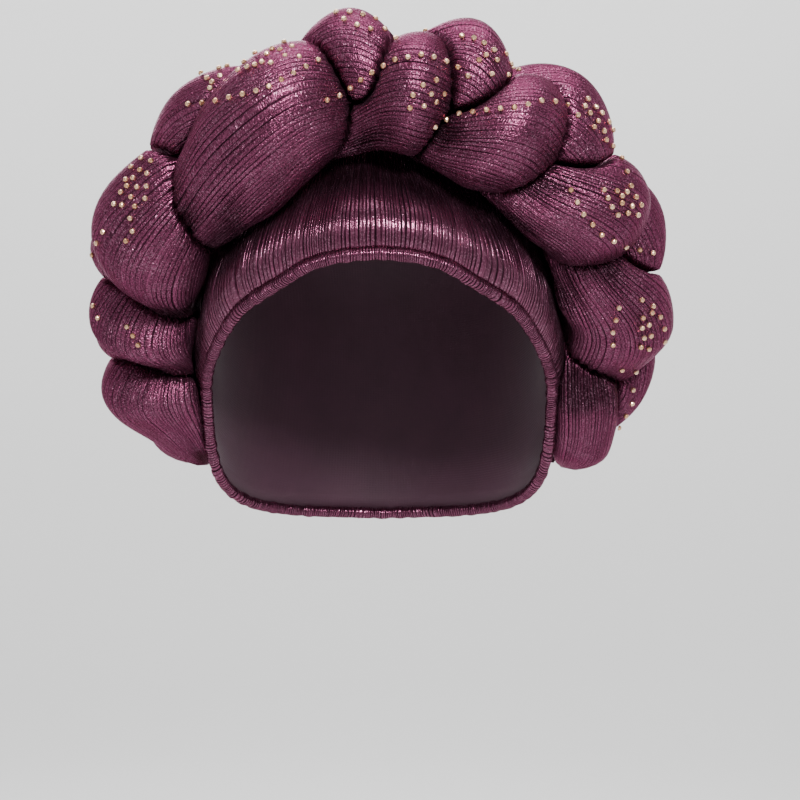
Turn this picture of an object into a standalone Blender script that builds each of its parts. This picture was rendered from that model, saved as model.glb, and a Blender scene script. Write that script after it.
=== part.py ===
"""Tied gele head tie: a fitted cap of pleated cloth, a rolled hem and a three-strand padded braid.

The front faces -Y, +X is at the viewer's right and +Z is up. The origin is the inside of the crown,
where the head carries the wrap. Lengths are metres and angles are degrees.
"""

import bmesh
import bpy
import numpy as np

# Cap, measured on its outer side from the level where the head is widest
CAP_HALF_WIDTH = 0.0800
CAP_HALF_DEPTH = 0.0985
CAP_CROWN_RISE = 0.0840
CAP_NAPE_TAPER = 0.20
NAPE_TAPER_TURN = 70.0
CAP_SIDE_TAPER = 0.02
CAP_WALL = 0.0020
BROW_RISE = 0.0175
NAPE_DROP = 0.1000
SKIRT_BELOW_RIM = 0.0100

# The puffed band over the brow, as the cloth stands off the head between hem and braid
PUFF_DEPTH = 0.0045
PUFF_RISE = 0.0420
PUFF_TURN = 150.0
PUFF_SKEW = 0.55

# Rolled hem
HEM_DIAMETER = 0.0056
SEAM_GAP = 0.0004

# Wreath: the line on the cap that the braid follows, tilted up over the brow, tucked in at the rim
WREATH_TILT = 43.5
BROW_TILT = 3.0
BROW_TILT_TURN = 28.0
WREATH_BEND_TURN = 75.0
WREATH_BRIDGE = 0.0045
WREATH_STAND_OFF_SHARE = 0.625
TUCK_TURN = 108.0
TUCK_OVER_RIM = 0.0145
TAIL_TURN = 95.0
TAIL_SHARE = 0.42

# Braid: half its swing across the wreath, half its rise over and under, and one strand's half sizes
BRAID_SWING = 0.0130
BRAID_RISE = 0.0065
STRAND_HALF_WIDTH = 0.0240
STRAND_HALF_HEIGHT = 0.0245
STRAND_SWELL = 0.0050
STRAND_GAP = 0.0033
BRAID_SEAT_GAP = 0.0009
STRAND_LEAD = -75.0

# How many faces each piece has round and along
CAP_TURNS = 64
CAP_RINGS = 10
HEM_SIDES = 8
LOBE_STATIONS = 15
STRAND_SIDES = 10

# How sharply a strand's limits are joined, the reach that stands for no limit, and the working limits
CORNER_POWER = 8.0
NO_LIMIT = 10.0
TINY = 1e-6
HALVINGS = 24

WIDEST_LEVEL = CAP_WALL - CAP_CROWN_RISE
CAP_SKIRT_REACH = NAPE_DROP + SKIRT_BELOW_RIM

# Where the cap's rim runs: turn from the brow, share of the drop from brow to nape
RIM_LINE = [
    (0, 0.000),
    (10, 0.009),
    (20, 0.034),
    (32, 0.102),
    (49, 0.193),
    (58, 0.264),
    (68, 0.345),
    (80, 0.440),
    (88, 0.545),
    (95, 0.690),
    (103, 0.810),
    (115, 0.900),
    (130, 0.955),
    (150, 0.985),
    (180, 1.000),
]

# Where the braid's lobes begin on its front edge: lobe number, turn round the wreath
LOBE_STARTS = [
    (0.4, -127),
    (1, -106),
    (2, -89),
    (3, -66),
    (4, -20),
    (5, 8),
    (6, 32),
    (7, 60),
    (8, 89),
    (9, 126),
]
FIRST_LOBE, FIRST_TURN = LOBE_STARTS[0]
LAST_LOBE, LAST_TURN = LOBE_STARTS[-1]
BRAID_STATIONS = round((LAST_LOBE - FIRST_LOBE) * LOBE_STATIONS) + 1

# How full the strands are along the braid: lobe number, share at the front edge, share at the back
LOBE_FULLNESS = [
    (0.4, 1.00, 0.90),
    (1.0, 1.00, 1.00),
    (1.6, 0.85, 0.95),
    (2.6, 0.94, 0.86),
    (3.1, 1.05, 0.64),
    (3.6, 1.16, 0.74),
    (4.1, 0.92, 0.86),
    (4.6, 0.84, 0.92),
    (5.1, 0.86, 1.00),
    (5.6, 0.86, 1.02),
    (6.1, 0.90, 1.12),
    (6.6, 0.95, 0.96),
    (7.6, 0.96, 0.88),
    (8.6, 1.00, 1.00),
    (9.0, 1.00, 0.90),
]

# How far the strands swing to the front edge: lobe number, share of the swing
FRONT_SWING = [
    (0.4, 1.00),
    (3.7, 1.00),
    (4.6, 0.35),
    (5.5, 1.00),
    (9.0, 1.00),
]

# Colour, roughness and metallic value of each material
MATERIALS = {
    "pleated_cloth": ((0.16, 0.035, 0.095), 0.38, 0.55),
    "hem_cloth": ((0.20, 0.045, 0.12), 0.35, 0.55),
    "braid_cloth": ((0.19, 0.045, 0.115), 0.42, 0.50),
}


def material(name):
    """A Principled material with the colour, roughness and metallic value from the table."""
    colour, roughness, metallic = MATERIALS[name]
    made = bpy.data.materials.get(name) or bpy.data.materials.new(name)
    made.use_nodes = True
    shader = made.node_tree.nodes["Principled BSDF"]
    shader.inputs["Base Color"].default_value = (*colour, 1.0)
    shader.inputs["Roughness"].default_value = roughness
    shader.inputs["Metallic"].default_value = metallic
    return made


def smoothstep(t):
    """Rises smoothly from 0 at t = 0 to 1 at t = 1 and stays there."""
    t = np.clip(t, 0.0, 1.0)
    return t * t * (3.0 - 2.0 * t)


def follow_table(rows, at):
    """Reads a table of (place, value) at any places, on a smooth curve that never overshoots."""
    x, y = np.array(rows, dtype=float).T
    step = np.diff(x)
    slope = np.diff(y) / step
    inner = np.where(
        slope[1:] * slope[:-1] > 0.0,
        2.0 * slope[1:] * slope[:-1] / np.where(slope[1:] + slope[:-1] == 0.0, 1.0, slope[1:] + slope[:-1]),
        0.0,
    )
    tangent = np.concatenate([slope[:1], inner, slope[-1:]])
    i = np.clip(np.searchsorted(x, at, side="right") - 1, 0, len(x) - 2)
    t = (at - x[i]) / step[i]
    return (
        (1.0 + 2.0 * t) * (1.0 - t) ** 2 * y[i]
        + t * (1.0 - t) ** 2 * step[i] * tangent[i]
        + t * t * (3.0 - 2.0 * t) * y[i + 1]
        + t * t * (t - 1.0) * step[i] * tangent[i + 1]
    )


def unit(v):
    """Vectors of length 1."""
    return v / np.linalg.norm(v, axis=-1, keepdims=True)


def along_ring(points):
    """Unit tangents of a closed ring of points."""
    return unit(np.roll(points, -1, axis=0) - np.roll(points, 1, axis=0))


# Cap form


def skirt_scale(turn, rise):
    """How far the cap draws in below the widest level, most at the nape."""
    back = smoothstep((np.abs(turn) - NAPE_TAPER_TURN) / (180.0 - NAPE_TAPER_TURN))
    taper = CAP_SIDE_TAPER + (CAP_NAPE_TAPER - CAP_SIDE_TAPER) * back
    return 1.0 - taper * (1.0 - np.cos(np.radians(rise)))


def cap_point(turn, rise, off):
    """A point of the cap: a half ellipsoid above the widest level, a drawn-in skirt below it."""
    above = rise > 0.0
    across = np.where(above, np.cos(np.radians(rise)), skirt_scale(turn, rise))
    tall = np.where(above, CAP_CROWN_RISE + off, CAP_SKIRT_REACH)
    return np.stack(
        [
            (CAP_HALF_WIDTH + off) * across * np.sin(np.radians(turn)),
            -(CAP_HALF_DEPTH + off) * across * np.cos(np.radians(turn)),
            WIDEST_LEVEL + tall * np.sin(np.radians(rise)),
        ],
        axis=-1,
    )


def rim_height(turn):
    """How high the cap's rim is over the widest level at each turn."""
    return BROW_RISE - follow_table(RIM_LINE, np.abs(turn)) * (BROW_RISE + NAPE_DROP)


def rim_rise(turn):
    """The rise angle of the cap's rim at each turn."""
    height = rim_height(turn)
    tall = np.where(height > 0.0, CAP_CROWN_RISE, CAP_SKIRT_REACH)
    return np.degrees(np.arcsin(height / tall))


def puff(turn, height):
    """How far the band over the brow stands out, a smooth swell between the rim and the braid."""
    front = smoothstep((PUFF_TURN - np.abs(turn)) / (0.5 * PUFF_TURN))
    share = np.clip((height - rim_height(turn)) / PUFF_RISE, 0.0, 1.0)
    return PUFF_DEPTH * front * np.sin(np.pi * share ** PUFF_SKEW) ** 2


def outside_cap(point, off):
    """Above 0 outside the cap's outer side grown by off, below 0 inside it."""
    x, y, z = np.moveaxis(point, -1, 0)
    height = z - WIDEST_LEVEL
    turn = np.degrees(np.arctan2(x / CAP_HALF_WIDTH, -y / CAP_HALF_DEPTH))
    off = off + puff(turn, height)
    down = np.degrees(np.arcsin(np.clip(height / CAP_SKIRT_REACH, -1.0, 0.0)))
    flat = np.hypot(x / (CAP_HALF_WIDTH + off), y / (CAP_HALF_DEPTH + off))
    tall = np.clip(height, 0.0, None) / (CAP_CROWN_RISE + off)
    return np.hypot(flat / skirt_scale(turn, down), tall) - 1.0


def cap_grid(off):
    """Rings of cap points from the rim up to just below the pole, and the pole."""
    turn = np.arange(CAP_TURNS) * 360.0 / CAP_TURNS
    turn = np.where(turn > 180.0, turn - 360.0, turn)[None, :]
    low = rim_rise(turn)
    share = np.linspace(0.0, 1.0, CAP_RINGS + 1)[:-1, None]
    rise = low + (90.0 - low) * share
    height = cap_point(turn, rise, 0.0)[..., 2] - WIDEST_LEVEL
    pole = np.array([[0.0, 0.0, WIDEST_LEVEL + CAP_CROWN_RISE + off]])
    return cap_point(turn, rise, off + puff(turn, height)), pole


# Wreath and braid form


def cap_distance(start, heading, off, far):
    """How far a straight way runs from each start before it meets the cap's outer side grown by off."""
    low = np.zeros(heading.shape[:-1])
    high = np.full(heading.shape[:-1], far)
    first = outside_cap(start, off) > 0.0
    for _ in range(HALVINGS):
        middle = 0.5 * (low + high)
        same = (outside_cap(start + heading * middle[..., None], off) > 0.0) == first
        low = np.where(same, middle, low)
        high = np.where(same, high, middle)
    return low


def tail(turn):
    """How full the braid is, 1 along most of it and drawing in to its tucked ends."""
    end = np.where(turn < 0.0, -FIRST_TURN, LAST_TURN)
    share = np.clip((np.abs(turn) - TAIL_TURN) / (end - TAIL_TURN), 0.0, 1.0)
    return 1.0 - (1.0 - TAIL_SHARE) * share ** 2


def tilted_ring(around):
    """A ring round the head in the wreath's tilted plane, seen from the middle of the widest level."""
    more = BROW_TILT * np.exp(-(np.degrees(around) / BROW_TILT_TURN) ** 2)
    tilt = np.radians(WREATH_TILT + more)
    return np.stack(
        [
            CAP_HALF_WIDTH * np.sin(around),
            -CAP_HALF_DEPTH * np.cos(around) * np.cos(tilt),
            CAP_HALF_DEPTH * np.cos(around) * np.sin(tilt),
        ],
        axis=-1,
    )


def wreath(turn):
    """Points of the wreath's line and, at each, its sideways and outward directions.

    The line runs in a tilted plane over the brow. At each side it leaves the plane on a quadratic
    curve that ends at the rim, where the braid is tucked in. It stands off the cap by a share of
    the braid's thickness, and a little more at the brow, which the braid bridges.
    """
    around = np.radians(turn)
    hand = np.where(turn < 0.0, -1.0, 1.0)
    end = np.radians(np.where(turn < 0.0, -FIRST_TURN, LAST_TURN))
    bend = np.radians(WREATH_BEND_TURN)
    leave = tilted_ring(hand * bend)
    lead = leave + tilted_ring(hand * (bend + 0.5 * np.pi)) * (0.5 * (end - bend))[:, None]
    tuck = cap_point(hand * TUCK_TURN, 0.0 * hand, 0.0)
    tuck[:, 2] = rim_height(TUCK_TURN) + TUCK_OVER_RIM
    share = np.clip((np.abs(around) - bend) / (end - bend), 0.0, 1.0)[:, None]
    curve = leave * (1.0 - share) ** 2 + lead * 2.0 * share * (1.0 - share) + tuck * share ** 2
    heading = unit(np.where(share > 0.0, curve, tilted_ring(around)))
    middle = np.array([0.0, 0.0, WIDEST_LEVEL])
    thick = WREATH_STAND_OFF_SHARE * (BRAID_RISE + STRAND_HALF_HEIGHT)
    stand_off = thick * tail(turn) + WREATH_BRIDGE * np.clip(np.cos(around), 0.0, 1.0)
    reach = cap_distance(middle, heading, 0.0, 2.0 * CAP_HALF_DEPTH) + stand_off
    line = middle + heading * reach[:, None]
    run = unit(np.gradient(line, axis=0))
    out = unit(heading - run * (heading * run).sum(axis=-1, keepdims=True))
    return line, np.cross(out, run), out


def strand_places(lobe):
    """Centres of the three strands across and out of the wreath, and the half width of each one.

    A strand swings from the front edge to the back edge and back, and rises over the middle strand
    as it leaves either edge. It is fullest where it lies on top.
    """
    phase = np.radians(120.0 * (lobe[:, None] - np.arange(3)) + STRAND_LEAD)
    reach = follow_table(FRONT_SWING, lobe)[:, None]
    swing = BRAID_SWING * 0.5 * (reach * (1.0 + np.cos(phase)) + 1.0 - np.cos(phase))
    across = -swing * np.cos(phase)
    out = BRAID_RISE * np.sin(2.0 * phase)
    front = follow_table([row[:2] for row in LOBE_FULLNESS], lobe)[:, None]
    back = follow_table([row[::2] for row in LOBE_FULLNESS], lobe)[:, None]
    share = 0.5 * (front * (1.0 + np.cos(phase)) + back * (1.0 - np.cos(phase)))
    return across, out, STRAND_HALF_WIDTH * share + STRAND_SWELL * np.sin(2.0 * phase)


def strand_sections(strand):
    """A strand's outline at each station of the wreath.

    Each outline is the set of places nearer to this strand than to the other two, less half the
    gap, inside the strand's own ellipse and outside the cap. The limits are joined by a soft
    minimum, which rounds the corners.
    """
    lobe = np.linspace(FIRST_LOBE, LAST_LOBE, BRAID_STATIONS)
    turn = follow_table(LOBE_STARTS, lobe)
    line, side, out = wreath(turn)
    full = tail(turn)[:, None]
    across, rise, half = (part * full for part in strand_places(lobe))
    stretch = STRAND_HALF_WIDTH / STRAND_HALF_HEIGHT
    angle = np.arange(STRAND_SIDES) * 2.0 * np.pi / STRAND_SIDES
    ray = np.stack([np.cos(angle), np.sin(angle)], axis=-1)
    limits = [np.broadcast_to(half[:, strand, None], (len(lobe), STRAND_SIDES))]
    for other in range(3):
        if other == strand:
            continue
        gap = STRAND_GAP * stretch - (half[:, strand] - half[:, other])
        apart = np.stack(
            [across[:, other] - across[:, strand], stretch * (rise[:, other] - rise[:, strand])], axis=-1
        )
        facing = apart @ ray.T + gap[:, None]
        room = ((apart ** 2).sum(axis=-1) - gap ** 2)[:, None]
        limits.append(np.where(facing > TINY, room / (2.0 * np.maximum(facing, TINY)), NO_LIMIT))
    centre = line + side * across[:, strand, None] + out * rise[:, strand, None]
    step = side[:, None] * ray[None, :, :1] + out[:, None] * ray[None, :, 1:] / stretch
    cap = cap_distance(centre[:, None], step, BRAID_SEAT_GAP, CAP_HALF_WIDTH)
    limits.append(np.where(cap < CAP_HALF_WIDTH - TINY, cap, NO_LIMIT))
    reach = (np.stack(limits) ** -CORNER_POWER).sum(axis=0) ** (-1.0 / CORNER_POWER)
    return centre[:, None] + step * reach[..., None]


# Meshes


def add_mesh(name, points, faces, finish):
    """One object from points and faces, its normals turned outwards and its round faces smooth."""
    mesh = bpy.data.meshes.new(name)
    mesh.from_pydata([tuple(p) for p in points], [], faces)
    mesh.update()
    work = bmesh.new()
    work.from_mesh(mesh)
    bmesh.ops.recalc_face_normals(work, faces=work.faces)
    work.to_mesh(mesh)
    work.free()
    mesh.shade_smooth()
    made = bpy.data.objects.new(name, mesh)
    bpy.context.scene.collection.objects.link(made)
    mesh.materials.append(material(finish))
    return made


def ring_faces(rings, sides, closed):
    """Quads of a grid of rings, closed round each ring and, if asked, from the last ring to the first."""
    return [
        (
            r * sides + s,
            r * sides + (s + 1) % sides,
            (r + 1) % rings * sides + (s + 1) % sides,
            (r + 1) % rings * sides + s,
        )
        for r in range(rings if closed else rings - 1)
        for s in range(sides)
    ]


def fitted_cap():
    """The hollow cap: outer side, inner side and the rim between them."""
    outer, outer_pole = cap_grid(0.0)
    inner, inner_pole = cap_grid(-CAP_WALL)
    count = CAP_RINGS * CAP_TURNS
    points = np.concatenate([outer.reshape(-1, 3), outer_pole, inner.reshape(-1, 3), inner_pole])
    shell = ring_faces(CAP_RINGS, CAP_TURNS, closed=False)
    faces = list(shell)
    faces += [tuple(count + 1 + i for i in reversed(f)) for f in shell]
    last = count - CAP_TURNS
    for s in range(CAP_TURNS):
        after = (s + 1) % CAP_TURNS
        faces.append((last + s, last + after, count))
        faces.append((count + 1 + last + after, count + 1 + last + s, 2 * count + 1))
        faces.append((after, s, count + 1 + s, count + 1 + after))
    return add_mesh("fitted_cap", points, faces, "pleated_cloth")


def face_hem():
    """The rolled hem: a round tube just beyond the cap's rim, all the way round."""
    turn = np.arange(CAP_TURNS) * 360.0 / CAP_TURNS
    turn = np.where(turn > 180.0, turn - 360.0, turn)
    rise = rim_rise(turn)
    rim = cap_point(turn, rise, -0.5 * CAP_WALL)
    run = along_ring(rim)
    up = unit(cap_point(turn, rise + 1.0, -0.5 * CAP_WALL) - rim)
    normal = unit(np.cross(run, up))
    away = np.cross(run, normal)
    away = np.where((away * up).sum(axis=-1, keepdims=True) > 0.0, -away, away)
    radius = 0.5 * HEM_DIAMETER
    centre = rim + away * (radius + SEAM_GAP)
    angle = np.arange(HEM_SIDES) * 2.0 * np.pi / HEM_SIDES
    points = centre[:, None] + radius * (
        away[:, None] * np.cos(angle)[None, :, None] + normal[:, None] * np.sin(angle)[None, :, None]
    )
    return add_mesh("face_hem", points.reshape(-1, 3), ring_faces(CAP_TURNS, HEM_SIDES, True), "hem_cloth")


def braid_strand(strand):
    """One padded strand of the braid, from its tucked end at one side to that at the other."""
    points = strand_sections(strand).reshape(-1, 3)
    faces = ring_faces(BRAID_STATIONS, STRAND_SIDES, False)
    faces.append(tuple(reversed(range(STRAND_SIDES))))
    faces.append(tuple(range(len(points) - STRAND_SIDES, len(points))))
    return add_mesh("braid_strand_" + "abc"[strand], points, faces, "braid_cloth")


def main():
    for old in list(bpy.data.objects):
        bpy.data.objects.remove(old, do_unlink=True)
    fitted_cap()
    face_hem()
    for strand in range(3):
        braid_strand(strand)


main()
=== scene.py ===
"""A tied gele head tie: pleated cap, gathered hem, three padded braid strands and gold stones.

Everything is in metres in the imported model's own frame: the face opening looks towards -Y, +Z is up
and the origin is the inner side of the crown. Each piece is a surface worked out with numpy from the
sizes in its property group, and takes the place of the plain solid of the same name.
"""

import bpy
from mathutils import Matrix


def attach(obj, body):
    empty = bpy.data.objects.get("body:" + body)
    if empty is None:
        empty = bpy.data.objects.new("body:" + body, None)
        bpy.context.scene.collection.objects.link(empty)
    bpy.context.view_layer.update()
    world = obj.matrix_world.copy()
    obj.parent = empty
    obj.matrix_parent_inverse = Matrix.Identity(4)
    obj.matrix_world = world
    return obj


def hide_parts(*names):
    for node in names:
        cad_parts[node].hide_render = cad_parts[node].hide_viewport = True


bl_info = {
    "name": "Tied gele head tie",
    "version": (1, 0, 0),
    "blender": (4, 5, 0),
    "location": "3D View > Sidebar > Gele",
    "description": "Dresses the packed head tie in pleated cloth and gold stones",
    "category": "Object",
}

import bpy
import numpy as np
from bpy.props import FloatProperty, FloatVectorProperty, IntProperty, PointerProperty
from mathutils import Vector
from mathutils.bvhtree import BVHTree

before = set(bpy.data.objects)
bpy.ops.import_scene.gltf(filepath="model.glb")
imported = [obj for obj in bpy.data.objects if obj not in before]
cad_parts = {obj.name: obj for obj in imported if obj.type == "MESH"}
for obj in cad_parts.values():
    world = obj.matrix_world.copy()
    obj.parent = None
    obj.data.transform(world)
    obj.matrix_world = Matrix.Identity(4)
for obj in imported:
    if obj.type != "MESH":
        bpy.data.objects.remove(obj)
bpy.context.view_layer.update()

# Where the cap's rim runs: turn from the brow, share of the drop from brow to nape
RIM_LINE = [
    (0, 0.000),
    (10, 0.009),
    (20, 0.034),
    (32, 0.102),
    (49, 0.193),
    (58, 0.264),
    (68, 0.345),
    (80, 0.440),
    (88, 0.545),
    (95, 0.690),
    (103, 0.810),
    (115, 0.900),
    (130, 0.955),
    (150, 0.985),
    (180, 1.000),
]

# Where the braid's lobes begin on its front edge: lobe number, turn round the wreath
LOBE_STARTS = [
    (0.4, -127),
    (1, -106),
    (2, -89),
    (3, -66),
    (4, -20),
    (5, 8),
    (6, 32),
    (7, 60),
    (8, 89),
    (9, 126),
]
FIRST_LOBE, FIRST_TURN = LOBE_STARTS[0]
LAST_LOBE, LAST_TURN = LOBE_STARTS[-1]

# How full the strands are along the braid: lobe number, share at the front edge, share at the back
LOBE_FULLNESS = [
    (0.4, 1.00, 0.90),
    (1.0, 1.00, 1.00),
    (1.6, 0.85, 0.95),
    (2.6, 0.94, 0.86),
    (3.1, 1.05, 0.64),
    (3.6, 1.16, 0.74),
    (4.1, 0.92, 0.86),
    (4.6, 0.84, 0.92),
    (5.1, 0.86, 1.00),
    (5.6, 0.86, 1.02),
    (6.1, 0.90, 1.12),
    (6.6, 0.95, 0.96),
    (7.6, 0.96, 0.88),
    (8.6, 1.00, 1.00),
    (9.0, 1.00, 0.90),
]

# How far the strands swing to the front edge: lobe number, share of the swing
FRONT_SWING = [
    (0.4, 1.00),
    (3.7, 1.00),
    (4.6, 0.35),
    (5.5, 1.00),
    (9.0, 1.00),
]

# Cap, in metres and degrees
NAPE_TAPER_TURN = 70.0  # turn from the brow at which the back begins to draw in
PUFF_SKEW = 0.55  # under 1, so the brow band is fullest near the rim
CAP_WAVE = 0.00025  # height of the slow waves across the pleats
BRAID_SHADOW_REACH = 0.016  # how far from the braid its painted shadow reaches
UNSHADED_DEEP = 0.45  # how deep the pleat lines look away from the braid, with no painted shade there; 1 beside it, under the painted shadow
CROWN_LEFT = 0.004  # way from the last ring to the crown, for the texture
LINING_STEP = 8  # outer faces to each face of the lining
LINING_RINGS = 20
RING_CROWDING = 1.15  # over 1, so the rings lie closer together near the rim
RIM_FADE = 0.03  # share of the way up in which the pleats come up from the rim
CROWN_FADE = 0.80  # share of the way up at which they begin to fade out
CROWN_FADE_SPAN = 0.19
SHADOW_STATIONS = 40  # of the rough strands that the painted shadow is measured from
SHADOW_SIDES = 8

# Hem
RUN_STEP = 4  # points to either side that give the direction of the rim
GATHER_LEAN = 0.0012  # how far the gathers lean to and fro, in lengths of the roll
GATHER_WAVES = 9.0  # how many times they do so along the roll
GATHER_TURN = 7.0  # radians round the roll that change a gather like its whole length
ROLL_BULGE = 0.00022  # height of the bulges, in metres

# Pleats
PLEAT_PUSH = 0.28  # how far they are pushed to and fro; from about 0.4 some run together
PLEAT_SHARPNESS = 1.4  # over 1, so the valleys are sharp and the folds round

# Braid, in metres
BRAID_RUN = 0.65  # about the length of a strand
FOLD_HEIGHT = 0.0011
SWELL_HEIGHT = 0.0007
DRAWN_IN = 0.0006  # makes room for the folds and swells
THINNEST = 0.0003
END_ROUND = 1.6  # how soon the rounded ends reach the full form
END_LEAST = 0.02

# How deep the strands' pleats are, 0 to 1; from about 0.45 up the same value paints shade on the cloth,
# darkest where a strand dives under its neighbours
TOP_DEEP = 0.16  # where a strand lies on top
BURIED_DEEP_AND_SHADE = 0.55  # added where it dives under its neighbours
FRONT_DEEP_AND_SHADE = 0.5  # added on its front side where it dives under them
FRONT_TOP_SHARE = 0.25  # how much of that is left where it lies on top
DEEP_LEVEL = 0.8  # all of it times this, give or take the next
DEEP_UNEVEN = 0.35
DEEP_LEAST = 0.05
LINE_CHANGES = 3.0  # how much faster the lines swell and fade than on the cap

# Outlines and cuts
NO_LIMIT = 10.0
TINY = 1e-6
HALVINGS = 22

# Stones
SEAT_STATIONS = 180  # faces along each strand surface that they are set on
SEAT_SIDES = 96  # faces round it
VIEW_PIXELS = 800
BRAID_AWAY = 0.80  # from the camera to the braid's front, in metres
CLOSEST = 0.85  # least room from stone to stone, in stone widths
STONE_TILT = 0.10  # how unevenly they sit

# Relief of the cloth, in metres, and how far its small cells lean
LINE_DIP = 0.0004
FAINT_DIP = 0.00016
DASH_RISE = 0.00036
CELL_LEAN = 0.20
GLINT_LEAN = 0.40

# Stage, in metres
BEND_RADIUS = 0.9
WALL_HEIGHT = 1.6
PAINTED_SHADE_HEIGHT = 1.1  # height over which the painted shade fades out up the backdrop, from darker at the floor
FLOOR_MIDDLE = 0.05  # radius of the one face in the middle
FLOOR_RINGS = 12
BEND_RINGS = 24
STAGE_SIDES = 96
SENSOR_WIDTH = 36.0  # of the camera, in millimetres

# Seeds of the random numbers: 11 to 13 for the cap, 21 to 23 for the hem, 81 for the stones, and
# 31, 41, 51, 61 and 71 plus the strand's number for the strands


class GeleCapSizes(bpy.types.PropertyGroup):
    """Sizes of the fitted cap."""

    half_width: FloatProperty(
        name="Half width", description="Half the cap's outer width",
        default=0.0800, unit="LENGTH", precision=4,
    )
    half_depth: FloatProperty(
        name="Half depth", description="Half the cap's outer depth",
        default=0.0985, unit="LENGTH", precision=4,
    )
    crown_rise: FloatProperty(
        name="Crown rise", description="Crown over the widest level",
        default=0.0840, unit="LENGTH", precision=4,
    )
    skirt_reach: FloatProperty(
        name="Skirt reach", description="How far the skirt's curve runs down",
        default=0.1100, unit="LENGTH",
    )
    nape_taper: FloatProperty(
        name="Nape taper", description="How much the skirt draws in at the nape",
        default=0.20, subtype="FACTOR",
    )
    side_taper: FloatProperty(
        name="Side taper", description="How much the skirt draws in at the sides",
        default=0.02, subtype="FACTOR",
    )
    wall: FloatProperty(
        name="Wall", description="Thickness of cloth and lining",
        default=0.0020, unit="LENGTH", precision=4,
    )
    brow_rise: FloatProperty(
        name="Brow rise", description="The rim at the brow over the widest level",
        default=0.0175, unit="LENGTH",
    )
    nape_drop: FloatProperty(
        name="Nape drop", description="The rim at the nape below the widest level",
        default=0.1000, unit="LENGTH",
    )
    puff_depth: FloatProperty(
        name="Puff depth", description="How far the brow band stands out",
        default=0.0045, unit="LENGTH", precision=4,
    )
    puff_rise: FloatProperty(
        name="Puff rise", description="How tall the brow band is",
        default=0.0420, unit="LENGTH", precision=4,
    )
    puff_turn: FloatProperty(
        name="Puff turn", description="Where round the head the brow band ends, in degrees",
        default=150.0,
    )
    pleats: IntProperty(name="Pleats", description="Pleats round the cap", default=286, min=12)
    pleat_depth: FloatProperty(
        name="Pleat depth", description="Depth of the deepest pleat lines",
        default=0.00034, unit="LENGTH", precision=5,
    )
    turns: IntProperty(name="Turns", description="Faces round the outer side", default=1920, min=80)
    rings: IntProperty(name="Rings", description="Faces from the rim to the crown", default=42, min=8)


class GeleHemSizes(bpy.types.PropertyGroup):
    """Sizes of the rolled hem."""

    diameter: FloatProperty(
        name="Diameter", description="Thickness of the roll",
        default=0.0056, unit="LENGTH", precision=4,
    )
    seam_gap: FloatProperty(
        name="Seam gap", description="Room between roll and rim",
        default=-0.0006, unit="LENGTH", precision=4,
    )
    ribs: IntProperty(name="Ribs", description="Gathers round the whole roll", default=470, min=12)
    rib_depth: FloatProperty(
        name="Rib depth", description="Depth of the lines between the gathers",
        default=0.00055, unit="LENGTH", precision=5,
    )
    turns: IntProperty(name="Turns", description="Faces round the face opening", default=3760, min=80)
    sides: IntProperty(name="Sides", description="Faces round the roll", default=14, min=6)


class GeleBraidSizes(bpy.types.PropertyGroup):
    """Sizes of the braid and of the line it follows."""

    tilt: FloatProperty(name="Tilt", description="Tilt of the wreath's plane, in degrees", default=43.5)
    brow_tilt: FloatProperty(
        name="Brow tilt", description="Extra tilt over the brow, in degrees",
        default=3.0,
    )
    brow_tilt_turn: FloatProperty(
        name="Brow tilt turn", description="How far round the extra tilt reaches, in degrees",
        default=28.0,
    )
    bend_turn: FloatProperty(
        name="Bend turn", description="Where the wreath leaves its plane, in degrees",
        default=75.0,
    )
    bridge: FloatProperty(
        name="Bridge", description="Room under the braid over the brow",
        default=0.0045, unit="LENGTH", precision=4,
    )
    stand_off: FloatProperty(
        name="Stand-off", description="Share of the braid's thickness it stands off the cap",
        default=0.625, subtype="FACTOR",
    )
    tuck_turn: FloatProperty(
        name="Tuck turn", description="Where the ends are tucked in, in degrees",
        default=108.0,
    )
    tuck_over_rim: FloatProperty(
        name="Tuck height", description="How high over the rim the ends are tucked in",
        default=0.0145, unit="LENGTH",
    )
    tail_turn: FloatProperty(
        name="Tail turn", description="Where the ends begin to thin, in degrees",
        default=95.0,
    )
    tail_share: FloatProperty(
        name="Tail share", description="Fullness left at the ends",
        default=0.42, subtype="FACTOR",
    )
    swing: FloatProperty(
        name="Swing", description="Half the strands' swing across the braid",
        default=0.0130, unit="LENGTH", precision=4,
    )
    rise: FloatProperty(
        name="Rise", description="Half the strands' rise over and under",
        default=0.0065, unit="LENGTH", precision=4,
    )
    half_width: FloatProperty(
        name="Strand half width", description="Half a strand's width",
        default=0.0240, unit="LENGTH", precision=4,
    )
    half_height: FloatProperty(
        name="Strand half height", description="Half a strand's height",
        default=0.0245, unit="LENGTH", precision=4,
    )
    swell: FloatProperty(
        name="Swell", description="Extra half width where a strand lies on top",
        default=0.0050, unit="LENGTH", precision=4,
    )
    gap: FloatProperty(
        name="Gap", description="Room between neighbouring strands",
        default=0.0006, unit="LENGTH", precision=4,
    )
    seat_gap: FloatProperty(
        name="Seat gap", description="Room between strand and cap",
        default=0.0009, unit="LENGTH", precision=4,
    )
    lead: FloatProperty(name="Lead", description="Phase of the braiding, in degrees", default=-75.0)
    corner_power: FloatProperty(
        name="Corner power", description="How sharply a strand's outline turns where strands meet",
        default=12.0,
    )
    pleats: IntProperty(name="Pleats", description="Pleats round a strand", default=72, min=8)
    pleat_depth: FloatProperty(
        name="Pleat depth", description="Depth of the deepest pleat lines",
        default=0.0013, unit="LENGTH", precision=5,
    )
    stations: IntProperty(name="Stations", description="Faces along a strand", default=264, min=40)
    sides: IntProperty(name="Sides", description="Faces round a strand", default=352, min=12)


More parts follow.
